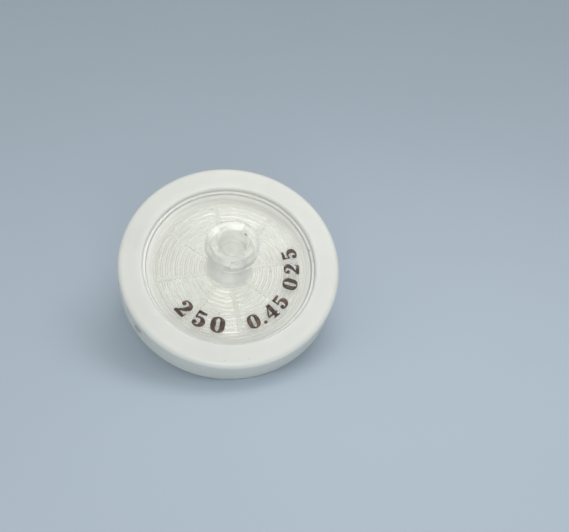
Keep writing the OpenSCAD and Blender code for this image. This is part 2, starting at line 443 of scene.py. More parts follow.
class Sheet:
    """The node sheet of a material or a world, with a call for each thing put on it."""

    def __init__(self, owner: bpy.types.Material | bpy.types.World, output: str) -> None:
        """Clears the sheet and puts its output on it.

        Args:
            owner: what the sheet belongs to.
            output: kind of its output node.
        """
        owner.use_nodes = True
        self.tree = owner.node_tree
        self.tree.nodes.clear()
        self.output = self.add(output)

    def add(self, kind: str, **settings: object) -> bpy.types.Node:
        """Adds a node.

        Args:
            kind: the node's kind.
            settings: its plain settings.

        Returns:
            The node.
        """
        node = self.tree.nodes.new(kind)
        for key, value in settings.items():
            setattr(node, key, value)
        return node

    def link(self, source: Socket, target: Socket) -> None:
        """Links one socket to another."""
        self.tree.links.new(source, target)

    def maths(self, operation: str, first: Socket, second: Socket | float) -> Socket:
        """Adds a calculation with two values.

        Args:
            operation: such as MULTIPLY or MAXIMUM.
            first: the first value.
            second: the second value, from a socket or as a plain number.

        Returns:
            The result.
        """
        node = self.add("ShaderNodeMath", operation=operation)
        self.link(first, node.inputs[0])
        if isinstance(second, float):
            node.inputs[1].default_value = second
        else:
            self.link(second, node.inputs[1])
        return node.outputs[0]

    def mix(self, share: Socket, first: Socket, second: Socket) -> None:
        """Sends a mix of two shaders to the output.

        Args:
            share: share of the second shader.
            first: the first shader, which has the rest.
            second: the second shader.
        """
        node = self.add("ShaderNodeMixShader")
        for source, target in zip((share, first, second), node.inputs):
            self.link(source, target)
        self.link(node.outputs[0], self.output.inputs["Surface"])

    def principled(self, colour: Colour, roughness: float, **sockets: object) -> bpy.types.Node:
        """Adds the shader, with its constant values on its own sockets.

        Args:
            colour: base colour, linear.
            roughness: roughness where nothing is linked.
            sockets: other sockets by name, with _ for a space.

        Returns:
            The shader node, linked to the output.
        """
        shader = self.add("ShaderNodeBsdfPrincipled")
        shader.inputs["Base Color"].default_value = (*colour, 1.0)
        shader.inputs["Roughness"].default_value = roughness
        for key, value in sockets.items():
            shader.inputs[key.replace("_", " ")].default_value = value
        self.link(shader.outputs["BSDF"], self.output.inputs["Surface"])
        return shader

    def noise(self, size: float, detail: float = 3.0) -> Socket:
        """Adds a noise pattern on the object's own coordinates.

        Args:
            size: width of its features, in metres.
            detail: levels of finer noise.

        Returns:
            The pattern's value, from 0 to 1.
        """
        place = self.add("ShaderNodeTexCoord")
        pattern = self.add("ShaderNodeTexNoise")
        pattern.inputs["Scale"].default_value = 1.0 / size
        pattern.inputs["Detail"].default_value = detail
        self.link(place.outputs["Object"], pattern.inputs["Vector"])
        return pattern.outputs["Fac"]

    def spread(self, value: Socket, low: float, high: float, span: Span = (0.0, 1.0),
               clamp: bool = True) -> Socket:
        """Maps a span of values evenly to a range of plain numbers.

        Args:
            value: the value to map.
            low: what the span's start becomes.
            high: what the span's end becomes.
            span: the span.
            clamp: whether values outside the span keep to the range.

        Returns:
            The mapped value.
        """
        node = self.add("ShaderNodeMapRange", clamp=clamp)
        for name, number in zip(("From Min", "From Max", "To Min", "To Max"),
                                (*span, low, high)):
            node.inputs[name].default_value = number
        self.link(value, node.inputs["Value"])
        return node.outputs["Result"]

    def clouded(self, shader: bpy.types.Node, pattern: Socket, colours: tuple[Colour, Colour],
                span: Span = MIDDLE) -> None:
        """Lets a pattern turn the base colour from one colour to another.

        Args:
            shader: the shader.
            pattern: the pattern.
            colours: the colours at the span's start and end.
            span: the pattern's values between which the colour changes.
        """
        node = self.add("ShaderNodeValToRGB")
        for element, place, colour in zip(node.color_ramp.elements, span, colours):
            element.position = place
            element.color = (*colour, 1.0)
        self.link(pattern, node.inputs["Fac"])
        self.link(node.outputs["Color"], shader.inputs["Base Color"])

    def bump(self, shader: bpy.types.Node, pattern: Socket, height: float, strength: float
             ) -> None:
        """Raises a pattern on a shader's normal.

        Args:
            shader: the shader.
            pattern: the pattern.
            height: its height, in metres.
            strength: how much of it shows.
        """
        node = self.add("ShaderNodeBump")
        node.inputs["Distance"].default_value = height
        node.inputs["Strength"].default_value = strength
        self.link(pattern, node.inputs["Height"])
        self.link(node.outputs["Normal"], shader.inputs["Normal"])

    def uneven(self, shader: bpy.types.Node, pattern: Socket, roughness: float, reach: Span
               ) -> None:
        """Lets a pattern vary a shader's roughness.

        Args:
            shader: the shader.
            pattern: the pattern.
            roughness: the roughness that it varies.
            reach: what it adds at the ends of the pattern's main span.
        """
        rough = self.spread(pattern, roughness + reach[0], roughness + reach[1], MIDDLE)
        self.link(rough, shader.inputs["Roughness"])

    def lets_light_in(self, shader: bpy.types.Node, colour: Colour, share: float) -> None:
        """Lets a share of the lamps' light straight through, tinted, to what lies behind.

        Args:
            shader: the shader that is seen.
            colour: what is left of the light.
            share: how much of it comes through.
        """
        path = self.add("ShaderNodeLightPath")
        through = self.add("ShaderNodeBsdfTransparent")
        through.inputs["Color"].default_value = (*colour, 1.0)
        part = self.maths("MULTIPLY", path.outputs["Is Shadow Ray"], share)
        self.mix(part, shader.outputs["BSDF"], through.outputs["BSDF"])


def tints(colour: Colour, low: float, high: float) -> tuple[Colour, Colour]:
    """A colour made darker by one factor and lighter by another."""
    return tuple(tuple(min(1.0, channel * factor) for channel in colour)
                 for factor in (low, high))


class Finish:
    """A material, worked out when it is asked for."""

    name: str

    def dress(self, sheet: Sheet) -> None:
        """Puts the finish's nodes on its sheet.

        Args:
            sheet: the empty sheet.
        """
        raise NotImplementedError

    def material(self) -> bpy.types.Material:
        """Makes the material.

        Returns:
            The material, dressed.
        """
        material = bpy.data.materials.new(self.name)
        self.dress(Sheet(material, "ShaderNodeOutputMaterial"))
        return material


@dataclass(frozen=True)
class MouldedWhite(Finish):
    """Opaque white polypropylene: satin, a little waxy, with the tool's fine texture."""

    name = "moulded_white"
    colour: Colour = (0.705, 0.712, 0.668)
    roughness: float = 0.36
    texture: float = 0.00022

    def dress(self, sheet: Sheet) -> None:
        """Puts the finish's nodes on its sheet.

        Args:
            sheet: the empty sheet.
        """
        shader = sheet.principled(
            self.colour, self.roughness, Subsurface_Weight=0.9, Subsurface_Scale=0.002,
            Subsurface_Radius=(1.0, 0.95, 0.85), IOR=1.49)
        clouds = sheet.noise(size=0.006, detail=2.0)
        sheet.clouded(shader, clouds, tints(self.colour, low=0.975, high=1.015))
        grain = sheet.noise(size=self.texture, detail=4.0)
        sheet.uneven(shader, grain, self.roughness, reach=(-0.05, 0.06))
        sheet.bump(shader, grain, height=6e-6, strength=0.35)


@dataclass(frozen=True)
class NaturalPolymer(Finish):
    """Unpigmented polypropylene: milky, clear enough to show what lies under it.

    Thin walls show what is behind them, and thick ones scatter more light and hide it.
    A mesh marks them by its attribute thick: 0 is as clear as the plate, 1 is as milky as
    the land, and a higher mark is milkier still.
    """

    name: str
    colour: Colour = (0.99, 0.99, 0.955)
    clearness: float = 0.81
    thick_clearness: float = 0.5
    roughness: float = 0.22
    lets_in: float = 0.96

    def dress(self, sheet: Sheet) -> None:
        """Puts the finish's nodes on its sheet.

        Args:
            sheet: the empty sheet.
        """
        shader = sheet.principled(self.colour, self.roughness, IOR=1.40)
        thick = sheet.add("ShaderNodeAttribute", attribute_name=THICK)
        clear = sheet.spread(thick.outputs["Fac"], self.clearness, self.thick_clearness,
                             clamp=False)
        sheet.link(clear, shader.inputs["Transmission Weight"])
        clouds = sheet.noise(size=0.004)
        sheet.clouded(shader, clouds, tints(self.colour, low=0.985, high=1.01))
        grain = sheet.noise(size=0.0008)
        sheet.uneven(shader, grain, self.roughness, reach=(-0.04, 0.05))
        sheet.bump(shader, grain, height=1e-6, strength=0.1)
        sheet.lets_light_in(shader, self.colour, self.lets_in)


@dataclass(frozen=True)
class MembraneFilm(Finish):
    """White microporous film: dead matt, faintly cloudy, and set grey as painted shade under the
    plate.
    """

    name = "membrane_film"
    # painted shade: the film is grey, not white, standing in for the light that the plate above
    # it holds back
    colour: Colour = (0.33, 0.33, 0.295)
    roughness: float = 0.95

    def dress(self, sheet: Sheet) -> None:
        """Puts the finish's nodes on its sheet.

        Args:
            sheet: the empty sheet.
        """
        shader = sheet.principled(self.colour, self.roughness)
        clouds = sheet.noise(size=0.0012, detail=5.0)
        sheet.clouded(shader, clouds, tints(self.colour, low=0.97, high=1.02))
        sheet.bump(shader, sheet.noise(size=0.00012, detail=4.0), height=4e-6, strength=0.3)


@dataclass(frozen=True)
class PadPrintInk(Finish):
    """Brown-black pad print, thin in random patches, so the plastic shows."""

    name = "pad_print_ink"
    dark: Colour = (0.030, 0.013, 0.006)
    thin: Colour = (0.16, 0.08, 0.042)
    roughness: float = 0.45

    def dress(self, sheet: Sheet) -> None:
        """Puts the finish's nodes on its sheet.

        Args:
            sheet: the empty sheet.
        """
        shader = sheet.principled(self.dark, self.roughness)
        sheet.clouded(shader, sheet.noise(size=0.00055, detail=4.0), (self.dark, self.thin),
                      span=(0.48, 0.68))
        sheet.bump(shader, sheet.noise(size=0.0002), height=5e-6, strength=0.3)


@dataclass(frozen=True)
class Grit(Finish):
    """Brown-black specks of dirt and burnt resin."""

    name = "grit"
    colour: Colour = (0.035, 0.022, 0.014)
    roughness: float = 0.7

    def dress(self, sheet: Sheet) -> None:
        """Puts the finish's nodes on its sheet.

        Args:
            sheet: the empty sheet.
        """
        shader = sheet.principled(self.colour, self.roughness)
        sheet.clouded(shader, sheet.noise(size=0.0001), tints(self.colour, low=0.7, high=1.3),
                      span=(0.35, 0.65))


@dataclass(frozen=True)
class BenchTop(Finish):
    """Plain pale floor."""

    name = "bench_top"
    colour: Colour = (0.48, 0.57, 0.65)
    roughness: float = 0.85

    def dress(self, sheet: Sheet) -> None:
        """Puts the finish's nodes on its sheet.

        Args:
            sheet: the empty sheet.
        """
        shader = sheet.principled(self.colour, self.roughness)
        clouds = sheet.noise(size=0.05, detail=2.0)
        sheet.clouded(shader, clouds, tints(self.colour, low=0.99, high=1.01))


# ---------------------------------------------------------------- the ring


@dataclass
class RimRing(Part):
    """The opaque ring moulded round both halves, with its gate scar.

    The draft and the scar's heading are in degrees, all else in millimetres.
    """

    name = "rim_ring"
    node = "overmold_ring"
    slot = "ring_polypropylene"
    sizes: Sizes
    columns: int = 384
    draft: float = 2.5
    top_round: float = 0.8
    bottom_round: float = 0.4
    window_round: float = 0.4
    parting_step: float = 0.03
    parting_h: float = 0.03
    gate_r: float = 0.6
    gate_h: float = 0.12
    gate_heading: float = 242.0

    def wall_r(self, z: float) -> float:
        """Radius of the drafted side wall at a height, without its edges."""
        parting_z = self.sizes.rim_z - self.top_round
        return self.sizes.rim_r - (parting_z - z) * math.tan(math.radians(self.draft))

    def section(self) -> np.ndarray:
        """Closed half section of the ring.

        Formula: round edges joined by straight lines, from the foot of the lower opening
        out along the lower face, up the drafted wall, in along the upper face, and back
        round the space that holds the flanges.

        Returns:
            Rows of radius and height, anticlockwise.
        """
        s = self.sizes
        w, b, t = self.window_round, self.bottom_round, self.top_round
        edge_r = self.wall_r(-s.rim_z) - b
        parting = (s.rim_r - self.parting_step, s.rim_z - t - self.parting_h)
        lip_z = s.rim_z - s.lip_t
        return np.concatenate([
            arc((s.window_r + w, -s.rim_z + w), w, 180, 270, 6),
            line((s.window_r + w, -s.rim_z), (edge_r, -s.rim_z), 4)[1:],
            arc((edge_r, -s.rim_z + b), b, -90, -self.draft, 8),
            line((self.wall_r(-s.rim_z + b), -s.rim_z + b), parting, 6)[1:],
            [parting],
            arc((s.rim_r - t, s.rim_z - t), t, 0, 90, 14),
            line((s.rim_r - t, s.rim_z), (s.window_r + w, s.rim_z), 4)[1:],
            arc((s.window_r + w, s.rim_z - w), w, 90, 180, 6),
            [[s.window_r, lip_z], [s.flange_r, lip_z],
             [s.flange_r, -lip_z], [s.window_r, -lip_z]],
        ])

    def gate_scar(self) -> Mesh:
        """The scar that the gate left: a low round boss with a dished middle.

        Formula: a turned solid whose height over the wall rises to its full height near
        its edge, laid with its axis along the heading at the middle of the side wall.

        Returns:
            Points and faces about the filter's axis.
        """
        r, h = self.gate_r, self.gate_h
        sunk = -3 * h
        section = np.array([
            [0.0, sunk], [r, sunk], [r, 0.3 * h], [0.95 * r, 0.75 * h], [0.84 * r, h],
            [0.72 * r, 0.9 * h], [0.55 * r, 0.45 * h], [0.3 * r, 0.25 * h], [0.0, 0.2 * h]])
        points, faces = lathe_mesh(section, full_turn(32))
        tilt = math.radians(self.draft)
        out = self.wall_r(0.0) + points[:, 2] * math.cos(tilt) + points[:, 1] * math.sin(tilt)
        up = points[:, 1] * math.cos(tilt) - points[:, 2] * math.sin(tilt)
        side = points[:, 0]
        a = math.radians(self.gate_heading)
        return np.stack([out * math.sin(a) + side * math.cos(a),
                         out * math.cos(a) - side * math.sin(a), up], axis=1), faces

    def mesh(self) -> Mesh:
        """Joins the turned ring and its gate scar.

        Returns:
            Points about the filter's axis, in millimetres, and faces.
        """
        section = self.section()
        ring = around(full_turn(self.columns)[None, :], section[:, :1], section[:, 1:])
        return joined([torus_mesh(ring), self.gate_scar()])


# ---------------------------------------------------------------- the two halves


@dataclass(frozen=True)
class FlowChannels:
    """Ring grooves and spokes on a face that looks at the membrane.

    wall is how far a groove's side leans over, last_r the inner edge of the last groove, and
    sine_limit the largest sine of a column's turn from its spoke's middle line.
    """

    last_r: float
    count: int = 11
    pitch: float = 0.72
    width: float = 0.38
    depth: float = 0.35
    spokes: int = 8
    spoke_w: float = 0.55
    spoke_heading: float = -2.4
    wall: float = 0.09
    sine_limit: float = 0.9

    @property
    def middle(self) -> float:
        """Radius of the middle of the outermost groove."""
        return self.last_r + self.width / 2

    def radii(self, inner: float, outer: float) -> np.ndarray:
        """Radii at which a grid of the face needs its rows.

        Args:
            inner: radius of the face's inner edge.
            outer: radius of its outer edge.

        Returns:
            Radii from inner to outer, closest at the grooves' walls.
        """
        edges = self.last_r - self.pitch * np.arange(self.count)[::-1, None]
        w, d = self.width, self.wall
        rows = (edges + np.array([0.0, d, w / 2, w - d, w])).ravel()
        rows = np.concatenate([rows, [self.middle - d]])
        low = np.linspace(inner, rows[rows > inner].min(), 5)[:-1]
        return np.sort(np.concatenate([low, rows[(rows > inner) & (rows < outer)]]))

    def headings(self, columns: int, radius: np.ndarray) -> np.ndarray:
        """Headings of a grid's columns, which run straight beside each spoke.

        Formula: in each sector the first seven columns keep fixed distances from the
        spoke's middle line, so their heading is the arc sine of distance over radius, and
        the others share the rest of the sector evenly.

        Args:
            columns: number of columns in all.
            radius: radius at each point, rows by one or more columns.

        Returns:
            Headings in radians, rows by columns.
        """
        share = columns // self.spokes
        half, d = self.spoke_w / 2, self.wall
        fixed = np.array([-half - d, -half, -half / 2, 0.0, half / 2, half, half + d])
        sector = 2 * np.pi / self.spokes
        beside = np.arcsin(np.clip(fixed / radius, -self.sine_limit, self.sine_limit))
        rest = share - len(fixed)
        t = np.arange(1, rest + 1) / (rest + 1)
        start = beside[:, -1:]
        end = sector + beside[:, :1]
        one = np.concatenate([beside, start + (end - start) * t], axis=1)
        turns = sector * np.arange(self.spokes)
        whole = (one[:, None, :] + turns[None, :, None]).reshape(len(one), -1)
        return whole + math.radians(self.spoke_heading)

    def depths(self, radius: np.ndarray, heading: np.ndarray) -> np.ndarray:
        """Depth of the channels at points of the face.

        Formula: full depth in a ring groove or a spoke and none outside, with walls that
        lean over a small width; the deeper of the two counts.

        Args:
            radius: radii of the points.
            heading: headings of the points, in radians.

        Returns:
            Depths in millimetres.
        """
        nearest = np.round((self.middle - radius) / self.pitch).clip(0, self.count - 1)
        off = np.abs(radius - (self.middle - nearest * self.pitch))
        in_ring = np.clip((self.width / 2 - off) / self.wall, 0, 1)
        sector = 2 * np.pi / self.spokes
        turn = heading - math.radians(self.spoke_heading)
        turn = (turn + sector / 2) % sector - sector / 2
        across = np.abs(radius * np.sin(turn))
        in_spoke = np.clip((self.spoke_w / 2 + self.wall - across) / self.wall, 0, 1)
        in_spoke = in_spoke * (radius < self.middle - self.wall / 2)
        return self.depth * np.maximum(in_ring, in_spoke)

    def carried_round(self, sections: Sequence[np.ndarray], face: int, side: int, columns: int
                      ) -> tuple[np.ndarray, np.ndarray, np.ndarray, np.ndarray]:
        """Carries a half's section round its axis, with the channels cut in its face.

        Formula: the section's radii and heights are the same at every heading, but for
        the channelled face, whose heights change by the channels' depth.

        Args:
            sections: stretches of the section, one after another.
            face: number of the stretch that is channelled.
            side: 1 where the channels go up into the half, -1 where they go down.
            columns: number of columns.

        Returns:
            Heading, radius and height of the points, rows by columns, and the number of
            each stretch's first row.
        """
        section = np.concatenate(sections)
        starts = np.cumsum([0] + [len(part) for part in sections])
        radius = np.repeat(section[:, :1], columns, axis=1)
        height = np.repeat(section[:, 1:], columns, axis=1)
        heading = self.headings(columns, section[:, :1])
        rows = slice(starts[face], starts[face + 1])
        height[rows] += side * self.depths(radius[rows], heading[rows])
        return heading, radius, height, starts


@dataclass(frozen=True)
class LockThread:
    """The double-start thread and the parting tabs round the mouth.

    Lengths are in millimetres and arcs, headings and ramps in degrees.
    """

    collar_r: float = 3.35
    crest_r: float = 3.95
    root_h: float = 1.75
    bevel: float = 0.4
    drop: float = 0.6
    arc: float = 210.0
    start: float = 11.0
    starts: int = 2
    start_drop: float = 0.12
    end_ramp: float = 3.0
    tab_drop: float = 2.5
    tab_t: float = 0.3
    tab_arc: float = 34.0
    tab_heading: float = 140.0
    tab_inset: float = 0.1
    flank_power: float = 1.35
    end_sink: float = 1.2
    tab_ramp: float = 2.0
    tab_lap: float = 0.04
    tab_edge: float = 0.05

    def reach(self, heading: np.ndarray, below: np.ndarray) -> np.ndarray:
        """Radius that the threads and tabs reach at points of the hub's wall.

        Formula: each thread's middle falls evenly with the turn from its start. Its
        radius is the crest's within the crest's height, falls along the flanks by the
        same slope on both sides, and falls off at both ends of its arc. A tab is a flat
        ledge with steep sides.

        Args:
            heading: headings in radians.
            below: depth of the points below the mouth, in millimetres.

        Returns:
            Radii in millimetres; well inside the hub where there is no thread.
        """
        turn = np.degrees(heading)
        depth = self.crest_r - self.collar_r
        best = np.zeros(np.broadcast(heading, below).shape)
        for k in range(self.starts):
            along = (turn - self.start - 360.0 * k / self.starts) % 360.0
            middle = self.start_drop + self.root_h / 2 + self.drop * along / 180.0
            rise = (self.root_h / 2 - np.abs(below - middle)) / self.bevel
            full = 1 - (1 - np.clip(rise, 0, 1)) ** self.flank_power
            height = np.where(rise > 0, full, rise)
            ends = np.clip(np.minimum(along, self.arc - along) / self.end_ramp, 0, 1)
            radius = self.collar_r + depth * height
            radius = np.where(ends > 0, radius - (1 - ends) * depth * self.end_sink, 0.0)
            best = np.maximum(best, radius)
            off = (turn - self.tab_heading - 360.0 * k / self.starts + 180.0) % 360.0 - 180.0
            side = np.clip((self.tab_arc / 2 - np.abs(off)) / self.tab_ramp, 0, 1)
            thick = np.abs(below - self.tab_drop - self.tab_t / 2)
            edge = np.clip((self.tab_t / 2 + self.tab_lap - thick) / self.tab_edge, 0, 1)
            tab = (self.crest_r - self.tab_inset) * np.minimum(side, edge)
            best = np.maximum(best, tab)
        return best


@dataclass
class Half(Part):
    """What the two halves have in common: plate, flange and channelled face."""

    sizes: Sizes
    channels: FlowChannels
    slope_foot: float = 0.25
    step_foot: float = 0.12
    land_edge: float = 0.09
    window_edge: float = 0.03
    flange_edge: float = 0.1

    def corners(self, side: int, face_z: float, seal: tuple[float, float]) -> list[Corner]:
        """Corners of the outside, from the plate over slope, step and land to the seal.

        Args:
            side: 1 for the inlet half, -1 for the outlet half.
            face_z: height of the plate's outer face.
            seal: radius and height of the point where the flange's inner face ends.

        Returns:
            Radius, height and edge radius of each corner.
        """
        s = self.sizes
        flange, window = s.flange_r - s.fit_gap, s.window_r - s.fit_gap
        land_z = side * (s.rim_z - s.land_drop)
        lip_z = side * (s.rim_z - s.lip_t - s.fit_gap)
        return [
            (s.plate_r, face_z, 0.0), (s.face_r, face_z, self.slope_foot),
            (s.slope_r, land_z - side * s.step_h, self.step_foot),
            (s.land_r, land_z, self.land_edge), (window, land_z, self.window_edge),
            (window, lip_z, 0.0), (flange, lip_z, self.flange_edge),
            (flange, seal[1], self.flange_edge), (*seal, 0.0)]

    def points(self) -> np.ndarray:
        """Points of the whole half, in rows along its section and columns round it."""
        raise NotImplementedError

    def core_share(self, reach: np.ndarray, height: np.ndarray) -> np.ndarray:
        """How milky the hub or the tip looks, at radii and heights."""
        raise NotImplementedError

    def mesh(self) -> Mesh:
        """Points about the filter's axis, in millimetres, and faces."""
        return torus_mesh(self.points())

    def thickness(self, points: np.ndarray) -> np.ndarray:
        """Marks of how milky the wall looks at each point."""
        reach = np.hypot(points[:, 0], points[:, 1])
        return self.core_share(reach, points[:, 2]) + self.sizes.edge_share(reach)


@dataclass
class InletHalf(Half):
    """The inlet half: plate, flange and hub with its threads, one closed surface.

    The shares are marks of milkiness, against 0 on the plate and 1 under the land.
    """

    name = "inlet_half"
    node = "inlet_housing"
    slot = "inlet_polypropylene"
    thread: LockThread = LockThread()
    columns: int = 384
    hub_top_r: float = 3.15
    hub_base_r: float = 3.3
    hub_fillet: float = 0.35
    collar_h: float = 2.75
    mouth_r: float = 2.15
    head_h: float = 3.0
    head_share: float = 0.0
    stem_share: float = 1.6
    hub_clear: float = 0.1
    lead_in: float = 0.4
    socket_depth: float = 8.2
    passage_r: float = 1.5
    edge: float = 0.12
    thread_rows: int = 50
    thread_reach: float = 3.3
    bore_edge: float = 0.05
    bore_end: float = 0.4

    def hub_r(self, z: np.ndarray) -> np.ndarray:
        """Radius of the hub and its collar, without threads.

        Formula: the hub narrows evenly to the collar's foot, where an S-curve over the
        height of the edge takes the wall out to the collar.

        Args:
            z: heights above the seal plane.

        Returns:
            Radii at those heights.
        """
        s = self.sizes
        foot_z = s.plate_t + self.hub_fillet
        step_z = s.mouth_z - self.collar_h
        t = np.clip((z - foot_z) / (step_z - foot_z), 0, 1)
        plain = self.hub_base_r + (self.hub_top_r - self.hub_base_r) * t
        up = np.clip((z - step_z + self.edge) / self.edge, 0, 1)
        ease = up * up * (3 - 2 * up)
        return plain + (self.thread.collar_r - plain) * ease

    def points(self) -> np.ndarray:
        """Points of the whole half, in rows along its section and columns round it.

        Formula: the section runs from the passage out along the channelled face, round
        the flange, in over land, slope and plate, up the hub, whose wall swells to the
        threads, over the mouth and down the tapered socket. Every row keeps to columns
        that run straight beside the spokes.

        Returns:
            An array of rows by columns by 3.
        """
        s, top_z = self.sizes, self.sizes.mouth_z
        under_r = self.channels.radii(self.passage_r, s.membrane_r)
        under = np.stack([under_r, np.zeros_like(under_r)], axis=1)
        outside = rounded(self.corners(1, s.plate_t, (s.membrane_r, 0.0))[::-1])
        foot = (self.hub_base_r + self.hub_fillet, s.plate_t + self.hub_fillet)
        plate = np.concatenate([
            line((s.plate_r, s.plate_t), (foot[0], s.plate_t), 14)[1:],
            arc(foot, self.hub_fillet, 270, 180, 8)[:-1],
        ])
        thread_z = top_z - self.thread_reach
        wall_z = np.concatenate([
            np.linspace(foot[1], thread_z, 8)[:-1],
            np.linspace(thread_z, top_z - self.edge, self.thread_rows),
        ])
        wall = np.stack([self.hub_r(wall_z), wall_z], axis=1)
        rim_turn = np.radians(np.linspace(0, 90, 6))[1:]
        brow = np.stack([self.thread.collar_r - self.edge * (1 - np.cos(rim_turn)),
                         top_z - self.edge * (1 - np.sin(rim_turn))], axis=1)
        lip = self.mouth_r + self.lead_in
        throat_r = self.mouth_r - self.lead_in * LUER_TAPER / 2
        turn = np.radians(np.linspace(90, 0, 9))
        throat = np.stack([lip - (lip - throat_r) * np.cos(turn),
                           top_z - self.lead_in * (1 - np.sin(turn))], axis=1)
        socket_end = (self.mouth_r - self.socket_depth * LUER_TAPER / 2,
                      top_z - self.socket_depth)
        bore = np.concatenate([
            line(tuple(throat[-1]), socket_end, 14)[1:],
            [socket_end, (self.passage_r + self.bore_edge, socket_end[1]),
             (self.passage_r, socket_end[1] - self.bore_edge)],
            line((self.passage_r, socket_end[1] - self.bore_end),
                 (self.passage_r, self.bore_end), 4),
        ])
        heading, radius, height, starts = self.channels.carried_round(
            [under, outside, plate, wall, brow, throat, bore], 0, 1, self.columns)
        rows = slice(starts[3], starts[4])
        reach = self.thread.reach(heading[rows], top_z - height[rows])
        radius[rows] = np.maximum(radius[rows], reach)
        return around(heading, radius, height)

    def core_share(self, reach: np.ndarray, height: np.ndarray) -> np.ndarray:
        """How milky the hub looks: most at its foot, and less and less up to its head.

        Formula: stem_share at the fillet, falling evenly to head_share where the head
        begins, and nothing beyond the thread's crest.

        Args:
            reach: radii of the points.
            height: heights of the points.

        Returns:
            One mark for each point.
        """
        stem_end = self.sizes.mouth_z - self.head_h - self.sizes.plate_t
        hub = np.interp(height - self.sizes.plate_t, [0.0, self.hub_fillet, stem_end],
                        [0.0, self.stem_share, self.head_share])
        hub[reach > self.thread.crest_r + self.hub_clear] = 0.0
        return hub


@dataclass
class OutletHalf(Half):
    """The outlet half: plate, flange, boss and tapered tip, one closed surface.

    The share is the tip's mark of milkiness, against 0 on the plate.
    """

    name = "outlet_half"
    node = "outlet_housing"
    slot = "outlet_polypropylene"
    slope_foot: float = 0.2
    columns: int = 256
    spout_share: float = 0.4
    tip_r: float = 1.975
    tip_round: float = 0.2
    passage_tip_r: float = 1.15
    passage_r: float = 1.3
    boss_step: float = 0.85
    boss_reach: float = 0.3
    seat_gap: float = 0.05
    mouth_chamfer: float = 0.06
    root_round: float = 0.15
    boss_edge: float = 0.1
    boss_foot: float = 0.2
    boss_clear: float = 0.5
    throat_in: float = 0.6
    throat_out: float = 0.3

    def points(self) -> np.ndarray:
        """Points of the whole half, in rows along its section and columns round it.

        Formula: the section runs from the tip's passage over its rounded end, up the
        6 percent taper, round the boss, out over plate, slope and land, round the flange,
        down into the seat and in along its channelled floor.

        Returns:
            An array of rows by columns by 3.
        """
        s = self.sizes
        boss_z = -s.rim_z - self.boss_reach
        root_r = self.tip_r + (boss_z - s.tip_z) * LUER_TAPER / 2
        boss_r = root_r + self.boss_step
        face_z = -s.membrane_t - s.plate_t
        seal = (s.flange_r - s.fit_gap - 2 * self.flange_edge, -s.fit_gap)
        tip_edge = (self.tip_r - self.tip_round, s.tip_z + self.tip_round)
        mouth, cut, root = self.passage_tip_r, self.mouth_chamfer, self.root_round
        edge, foot = self.boss_edge, self.boss_foot
        outside = np.concatenate([
            [[mouth, s.tip_z + cut], [mouth + cut, s.tip_z]],
            [[(mouth + tip_edge[0]) / 2, s.tip_z]],
            arc(tip_edge, self.tip_round, 270, 360, 7),
            line((self.tip_r, s.tip_z + self.tip_round), (root_r, boss_z - root), 16)[1:],
            arc((root_r + root, boss_z - root), root, 180, 90, 4),
            arc((boss_r - edge, boss_z + edge), edge, 270, 360, 4),
            arc((boss_r + foot, face_z - foot), foot, 180, 90, 5),
            line((boss_r + self.boss_clear, face_z), (s.plate_r, face_z), 10),
            rounded(self.corners(-1, face_z, seal)),
        ])
        seat_r = s.membrane_r + self.seat_gap
        seat_z = -s.membrane_t
        floor_r = self.channels.radii(self.passage_r, s.membrane_r)[::-1]
        floor = np.stack([floor_r, np.full_like(floor_r, seat_z)], axis=1)
        seat = np.array([[seat_r, -s.fit_gap], [seat_r, seat_z]])
        passage = line((self.passage_r, seat_z - self.throat_in),
                       (self.passage_tip_r, s.tip_z + self.throat_out), 12)
        heading, radius, height, _ = self.channels.carried_round(
            [outside, seat, floor, passage], 2, -1, self.columns)
        return around(heading, radius, height)

    def core_share(self, reach: np.ndarray, height: np.ndarray) -> np.ndarray:
        """How milky the boss and the tip look, against the plate.

        Formula: spout_share, growing evenly from none over the boss's reach below the
        plate's outer face, and nothing beyond half the plate's radius.

        Args:
            reach: radii of the points.
            height: heights of the points.

        Returns:
            One mark for each point.
        """
        below = -self.sizes.membrane_t - self.sizes.plate_t - height
        spout = np.interp(below, [0.0, self.boss_reach], [0.0, self.spout_share])
        spout[reach > self.sizes.face_r / 2] = 0.0
        return spout


@dataclass
class MembraneDisc(Part):
    """The filter disc in its seat, a hair clear of both halves."""

    name = "membrane_disc"
    node = "membrane"
    slot = "membrane_polymer"
    sizes: Sizes
    columns: int = 192
    rings: tuple[float, ...] = (0.0, 3.0, 6.0, 9.0)
    clear: float = 0.02
    edge: float = 0.03

    def mesh(self) -> Mesh:
        """A disc, turned from a section with a small bevel at its edge.

        Returns:
            Points about the filter's axis, in millimetres, and faces.
        """
        low, high = -self.sizes.membrane_t + self.clear, -self.clear
        r = self.sizes.membrane_r
        radii = np.array([*self.rings, r - self.edge])
        section = np.concatenate([
            np.stack([radii, np.full_like(radii, low)], axis=1),
            [[r, low + self.edge], [r, high - self.edge]],
            np.stack([radii[::-1], np.full_like(radii, high)], axis=1),
        ])
        return lathe_mesh(section, full_turn(self.columns))


# ---------------------------------------------------------------- print


class Path(Enum):
    """How a stroke's path runs through its points."""

    STRAIGHT = "straight"
    ROUND = "round"


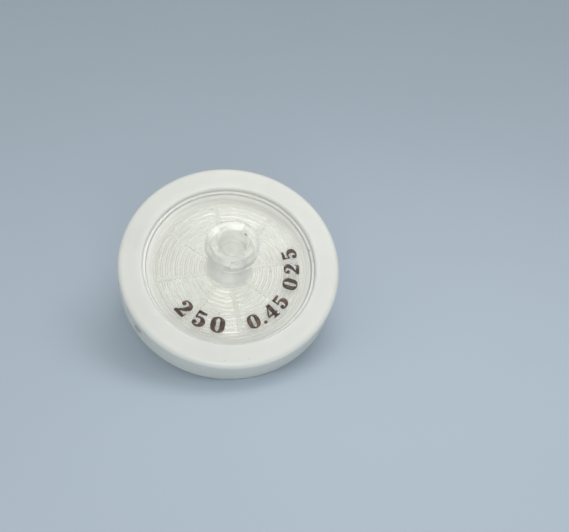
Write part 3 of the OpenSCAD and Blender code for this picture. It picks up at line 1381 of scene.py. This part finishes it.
@dataclass(frozen=True)
class Stroke:
    """One stroke of a digit: a path in heights of the digit, and its width at each point."""

    path: tuple[tuple[float, float], ...]
    widths: tuple[float, ...]
    way: Path = Path.ROUND
    closed: bool = False

    def outline(self) -> tuple[np.ndarray, np.ndarray]:
        """Left and right edge of the stroke.

        Formula: a Catmull-Rom curve through the path's points, with the width carried
        along by the same curve, and half of it set off square to the path on each side.

        Returns:
            Two arrays of points in heights of the digit.
        """
        knots = np.column_stack([np.array(self.path), np.array(self.widths)])
        steps = 1 if self.way is Path.STRAIGHT else CURVE_STEPS
        count = len(knots)
        if self.closed:
            ext = np.concatenate([knots[-1:], knots, knots[:2]])
            spans = count
        else:
            ext = np.concatenate([2 * knots[:1] - knots[1:2], knots,
                                  2 * knots[-1:] - knots[-2:-1]])
            spans = count - 1
        t = (np.arange(steps) / steps)[:, None]
        p0, p1, p2, p3 = (ext[k:k + spans, None, :] for k in range(4))
        curve = 0.5 * (2 * p1 + (p2 - p0) * t + (2 * p0 - 5 * p1 + 4 * p2 - p3) * t ** 2
                       + (3 * p1 - p0 - 3 * p2 + p3) * t ** 3)
        curve = curve.reshape(-1, 3)
        if self.closed:
            run = np.roll(curve, -1, axis=0)[:, :2] - np.roll(curve, 1, axis=0)[:, :2]
        else:
            curve = np.concatenate([curve, knots[-1:]])
            run = np.gradient(curve[:, :2], axis=0)
        run /= np.linalg.norm(run, axis=1, keepdims=True)
        square = np.stack([-run[:, 1], run[:, 0]], axis=1) * curve[:, 2:] / 2
        return curve[:, :2] + square, curve[:, :2] - square


def ball(x: float, y: float, r: float) -> Stroke:
    """A round dot, drawn as a closed stroke whose inner edge shuts at its middle.

    Args:
        x: middle of the dot across the digit, in heights of the digit.
        y: its middle above the digit's foot, likewise.
        r: its radius, likewise.

    Returns:
        The stroke.
    """
    turn = np.radians(np.arange(0, 360, 30))
    path = tuple((x + r / 2 * math.cos(a), y + r / 2 * math.sin(a)) for a in turn)
    return Stroke(path, (r * 0.98,) * len(path), closed=True)


DIGITS: dict[str, tuple[float, tuple[Stroke, ...]]] = {
    "0": (0.70, (
        Stroke(((0.35, 0.955), (0.15, 0.80), (0.115, 0.5), (0.15, 0.20), (0.35, 0.045),
                (0.55, 0.20), (0.585, 0.5), (0.55, 0.80)),
               (0.09, 0.23, 0.28, 0.23, 0.09, 0.23, 0.28, 0.23), closed=True),)),
    "2": (0.72, (
        ball(0.18, 0.72, 0.12),
        Stroke(((0.10, 0.76), (0.17, 0.91), (0.34, 0.955), (0.52, 0.87), (0.565, 0.70),
                (0.47, 0.50), (0.27, 0.30), (0.09, 0.10)),
               (0.06, 0.08, 0.12, 0.22, 0.275, 0.22, 0.13, 0.10)),
        Stroke(((0.04, 0.10), (0.34, 0.11), (0.64, 0.09)), (0.19, 0.22, 0.19)),
        Stroke(((0.60, 0.04), (0.67, 0.32)), (0.10, 0.04), Path.STRAIGHT))),
    "4": (0.76, (
        Stroke(((0.47, 0.985), (0.06, 0.33)), (0.10, 0.10), Path.STRAIGHT),
        Stroke(((0.02, 0.30), (0.73, 0.30)), (0.12, 0.12), Path.STRAIGHT),
        Stroke(((0.50, 1.0), (0.50, 0.03)), (0.265, 0.265), Path.STRAIGHT),
        Stroke(((0.28, 0.045), (0.72, 0.045)), (0.09, 0.09), Path.STRAIGHT))),
    "5": (0.70, (
        Stroke(((0.13, 0.91), (0.36, 0.89), (0.60, 0.92)), (0.18, 0.19, 0.14)),
        Stroke(((0.16, 0.97), (0.14, 0.50)), (0.10, 0.085), Path.STRAIGHT),
        Stroke(((0.13, 0.50), (0.30, 0.60), (0.50, 0.52), (0.575, 0.33), (0.47, 0.11),
                (0.28, 0.045), (0.12, 0.11), (0.08, 0.2)),
               (0.06, 0.11, 0.22, 0.28, 0.20, 0.11, 0.08, 0.06)),
        ball(0.175, 0.22, 0.12))),
    ".": (0.30, (ball(0.15, 0.12, 0.115),)),
}


@dataclass(frozen=True)
class PrintLine:
    """One printed number: its digits, their height and the arc that they stand on."""

    digits: str
    height: float
    middle_r: float
    first_heading: float
    last_heading: float
    broad: float = 1.1

    def places(self) -> list[tuple[str, float]]:
        """Spreads the digits along the arc by their own widths.

        Returns:
            Each digit with the heading of its middle, in degrees.
        """
        widths = np.array([DIGITS[d][0] for d in self.digits])
        run = np.cumsum(widths) - widths / 2
        share = (run - run[0]) / (run[-1] - run[0])
        headings = self.first_heading + share * (self.last_heading - self.first_heading)
        return list(zip(self.digits, headings))


@dataclass
class PlatePrint(Part):
    """Plain numbers printed on the inlet plate, their tops towards the hub.

    The film reaches as far above the plate's face as it is sunk below it.
    """

    name = "plate_print"
    slot = "inlet_polypropylene"
    sizes: Sizes
    lines: tuple[PrintLine, ...] = (
        PrintLine("250", 2.6, 9.4, 232.5, 198.0),
        PrintLine("0.45", 2.3, 9.35, 165.0, 133.0),
        PrintLine("025", 2.3, 9.45, 112.5, 82.5),
    )
    film: float = 0.012

    def stroke_mesh(self, stroke: Stroke, text: PrintLine, width: float, heading: float
                    ) -> Mesh:
        """Solid film of one stroke.

        Formula: the stroke's two edges at two heights make a four-cornered band along the
        path. A digit's x runs against the headings and its y towards the axis.

        Args:
            stroke: the stroke.
            text: the line that its digit stands in.
            width: width of the digit, in heights of the digit.
            heading: heading of the digit's middle, in degrees.

        Returns:
            Points and faces about the filter's axis.
        """
        left, right = stroke.outline()
        a = math.radians(heading)
        outward = np.array([math.sin(a), math.cos(a)])
        along = np.array([-math.cos(a), math.sin(a)])
        corners = []
        for edge, level in ((left, 1), (right, 1), (right, -1), (left, -1)):
            x = (edge[:, :1] - width / 2) * text.height * text.broad
            y = text.middle_r - (edge[:, 1:] - 0.5) * text.height
            flat = outward * y + along * x
            z = np.full((len(flat), 1), self.sizes.plate_t + level * self.film)
            corners.append(np.concatenate([flat, z], axis=1))
        band = np.stack(corners, axis=1)
        faces = grid_faces(len(band), 4, stroke.closed, True)
        if not stroke.closed:
            last = 4 * (len(band) - 1)
            caps = np.array([[0, 1, 2, 3], [last + 3, last + 2, last + 1, last]])
            faces = np.concatenate([faces, caps])
        points = band.reshape(-1, 3)
        if signed_volume(points, faces) < 0:
            faces = faces[:, ::-1]
        return points, faces

    def mesh(self) -> Mesh:
        """All the strokes of all the digits, each a closed film of its own.

        Returns:
            Points about the filter's axis, in millimetres, and faces.
        """
        return joined([self.stroke_mesh(stroke, text, DIGITS[digit][0], heading)
                       for text in self.lines
                       for digit, heading in text.places()
                       for stroke in DIGITS[digit][1]])


# ---------------------------------------------------------------- specks


@dataclass(frozen=True)
class Speck:
    """One speck: where it sits, its width and how much longer than wide it is."""

    radius: float
    heading: float
    width: float
    longer: float = 1.0


@dataclass
class SpeckField(Part):
    """Specks that lie on one level, as one piece."""

    name: str
    level: float
    specks: tuple[Speck, ...]
    slot: str = "inlet_polypropylene"
    flatness: float = 0.35

    def blob(self, speck: Speck) -> Mesh:
        """A flattened ellipsoid lying on the level.

        Formula: a ball turned from a half circle, stretched along x and pressed flat,
        turned by twice its heading, and set at its heading and radius.

        Args:
            speck: the speck.

        Returns:
            Points and faces about the filter's axis.
        """
        turn = np.radians(np.linspace(-90, 90, 7))
        section = np.stack([np.cos(turn), np.sin(turn)], axis=1) * speck.width / 2
        section[[0, -1], 0] = 0.0
        points, faces = lathe_mesh(section, full_turn(12))
        points = points * np.array([speck.longer, 1.0, self.flatness])
        a = math.radians(speck.heading)
        points[:, :2] = points[:, :2] @ np.array([[math.cos(2 * a), math.sin(2 * a)],
                                                  [-math.sin(2 * a), math.cos(2 * a)]])
        points += [speck.radius * math.sin(a), speck.radius * math.cos(a), self.level]
        return points, faces

    def mesh(self) -> Mesh:
        """Points about the filter's axis, in millimetres, and faces."""
        return joined([self.blob(speck) for speck in self.specks])


def speck_fields(sizes: Sizes) -> tuple[SpeckField, ...]:
    """The stray specks, level by level.

    Args:
        sizes: sizes of the filter.

    Returns:
        One field for each level that they lie on.
    """
    lead_in_z = sizes.mouth_z - 0.16  # part of the way down the lead-in
    mouth_z = sizes.mouth_z - 0.02  # sunk a little into the mouth's face
    return (
        SpeckField("lead_in_speck", lead_in_z, (Speck(2.24, 65.0, 0.28),)),
        SpeckField("mouth_specks", mouth_z,
                   (Speck(2.66, 177.0, 0.13, 1.5), Speck(2.66, 185.5, 0.12))),
        SpeckField("flange_specks", sizes.rim_z - sizes.land_drop,
                   (Speck(12.55, 84.0, 0.16, 1.6), Speck(12.6, 92.3, 0.13))),
        SpeckField("plate_specks", sizes.plate_t, (
            Speck(7.3, 245.6, 0.12), Speck(6.7, 205.6, 0.10), Speck(7.5, 198.6, 0.10, 2.2),
            Speck(6.26, 101.1, 0.11, 2.6), Speck(9.8, 300.6, 0.10))),
        SpeckField("ring_specks", sizes.rim_z,
                   (Speck(15.45, 190.6, 0.10), Speck(15.45, 177.6, 0.09)),
                   "ring_polypropylene"),
    )


# ---------------------------------------------------------------- studio


@dataclass(frozen=True)
class SoftLamp:
    """A square soft lamp that the camera doesn't see."""

    name: str
    place: tuple[float, float, float]
    side: float
    level: float

    def build(self, target: Vector) -> None:
        """Hangs the lamp, aimed at a point, so that it lights a facing white by level.

        Formula: a flat lamp of power P at distance d lights a surface that faces it to
        P over pi squared d squared, so P is level times pi squared d squared.

        Args:
            target: the point that it faces.
        """
        place = Vector(self.place)
        away = target - place
        data = bpy.data.lights.new(self.name, "AREA")
        data.shape = "SQUARE"
        data.size = self.side
        data.energy = self.level * math.pi ** 2 * away.length_squared
        lamp = bpy.data.objects.new(self.name, data)
        lamp.location = place
        lamp.rotation_mode = "QUATERNION"
        lamp.rotation_quaternion = away.to_track_quat("-Z", "Y")
        lamp.visible_camera = False
        bpy.context.scene.collection.objects.link(lamp)


@dataclass
class Studio:
    """Floor, light and camera, in metres and degrees, but below_rim in millimetres."""

    sizes: Sizes
    lie: Lie
    floor_r: float = 3.0
    floor_rings: int = 12
    floor_columns: int = 96
    sky: float = 0.52
    haze: Colour = (0.50, 0.58, 0.66)
    azimuth: float = -11.0
    elevation: float = 30.7
    distance: float = 0.1935
    lens: float = 82.2
    aside: float = 0.00825
    below_rim: float = 0.8
    lamps: tuple[SoftLamp, ...] = (
        SoftLamp("front_lamp", (-0.04, -0.40, 0.22), side=0.20, level=0.33),
        SoftLamp("top_lamp", (0.030, -0.014, 0.115), side=0.07, level=0.30),
    )

    def floor(self) -> None:
        """Lays the floor: a wide disc that the filter rests on, its rings wider outwards."""
        count = self.floor_columns
        rings = self.floor_r * np.linspace(0, 1, self.floor_rings + 1)[1:, None] ** 2
        points = around(full_turn(count)[None, :], rings, np.zeros((1, 1))).reshape(-1, 3)
        j = np.arange(count)
        fan = np.stack([np.full(count, len(points)), (j + 1) % count, j], axis=1)
        band = grid_faces(self.floor_rings, count, False, True)[:, ::-1]
        data = bpy.data.meshes.new("floor")
        data.from_pydata(np.vstack([points, [[0.0, 0.0, 0.0]]]).tolist(), [],
                         band.tolist() + fan.tolist())
        if data.polygons[0].normal.z < 0:
            data.flip_normals()
        data.materials.append(BenchTop().material())
        floor = bpy.data.objects.new("floor", data)
        bpy.context.scene.collection.objects.link(floor)

    def world(self) -> None:
        """Sets the sky: even light, with the floor's own haze where it is seen."""
        world = bpy.data.worlds.new("studio")
        bpy.context.scene.world = world
        sheet = Sheet(world, "ShaderNodeOutputWorld")
        shades = []
        for colour, strength in (((1.0, 1.0, 1.0), self.sky), (self.haze, 1.0)):
            shade = sheet.add("ShaderNodeBackground")
            shade.inputs["Color"].default_value = (*colour, 1.0)
            shade.inputs["Strength"].default_value = strength
            shades.append(shade.outputs[0])
        rays = sheet.add("ShaderNodeLightPath").outputs
        seen = sheet.maths("MAXIMUM", rays["Is Camera Ray"], rays["Is Glossy Ray"])
        sheet.mix(sheet.maths("MAXIMUM", seen, rays["Is Transmission Ray"]), *shades)

    def camera(self) -> None:
        """Sets the camera to look at the rim's middle from the front and above."""
        a, e = math.radians(self.azimuth), math.radians(self.elevation)
        back = Vector((math.sin(a) * math.cos(e), -math.cos(a) * math.cos(e), math.sin(e)))
        right = Vector((math.cos(a), math.sin(a), 0.0))
        up = back.cross(right)
        parting = np.array([0.0, 0.0, self.sizes.rim_z - self.below_rim])
        target = Vector(self.lie.place(parting)) + right * self.aside
        data = bpy.data.cameras.new("camera")
        data.lens = self.lens
        data.clip_start, data.clip_end = 0.005, 20.0
        camera = bpy.data.objects.new("camera", data)
        turn = Matrix((right, up, back)).transposed().to_4x4()
        camera.matrix_world = Matrix.Translation(target + back * self.distance) @ turn
        bpy.context.scene.collection.objects.link(camera)
        bpy.context.scene.camera = camera

    def build(self) -> None:
        """Builds the studio."""
        self.floor()
        self.world()
        target = Vector(self.lie.origin)
        for lamp in self.lamps:
            lamp.build(target)
        self.camera()
        bpy.context.scene.view_settings.view_transform = "Standard"


# ---------------------------------------------------------------- the whole


def main() -> None:
    logging.basicConfig(level=logging.INFO, format="%(message)s")
    sizes = Sizes()
    lie = Lie.from_record(frame["record"], sizes.mouth_z)
    channels = FlowChannels(last_r=sizes.face_r - sizes.groove_margin - FlowChannels.width)
    dressed: tuple[tuple[Part, Finish], ...] = (
        (RimRing(sizes), MouldedWhite()),
        (InletHalf(sizes, channels), NaturalPolymer("natural_polymer_inlet")),
        (OutletHalf(sizes, channels), NaturalPolymer("natural_polymer_outlet")),
        (MembraneDisc(sizes), MembraneFilm()),
        (PlatePrint(sizes), PadPrintInk()),
    )
    for part, finish in dressed:
        part.build(lie, finish.material())
    grit = Grit().material()
    for specks in speck_fields(sizes):
        specks.build(lie, grit)
    Studio(sizes, lie).build()


if __name__ == "__main__":
    main()
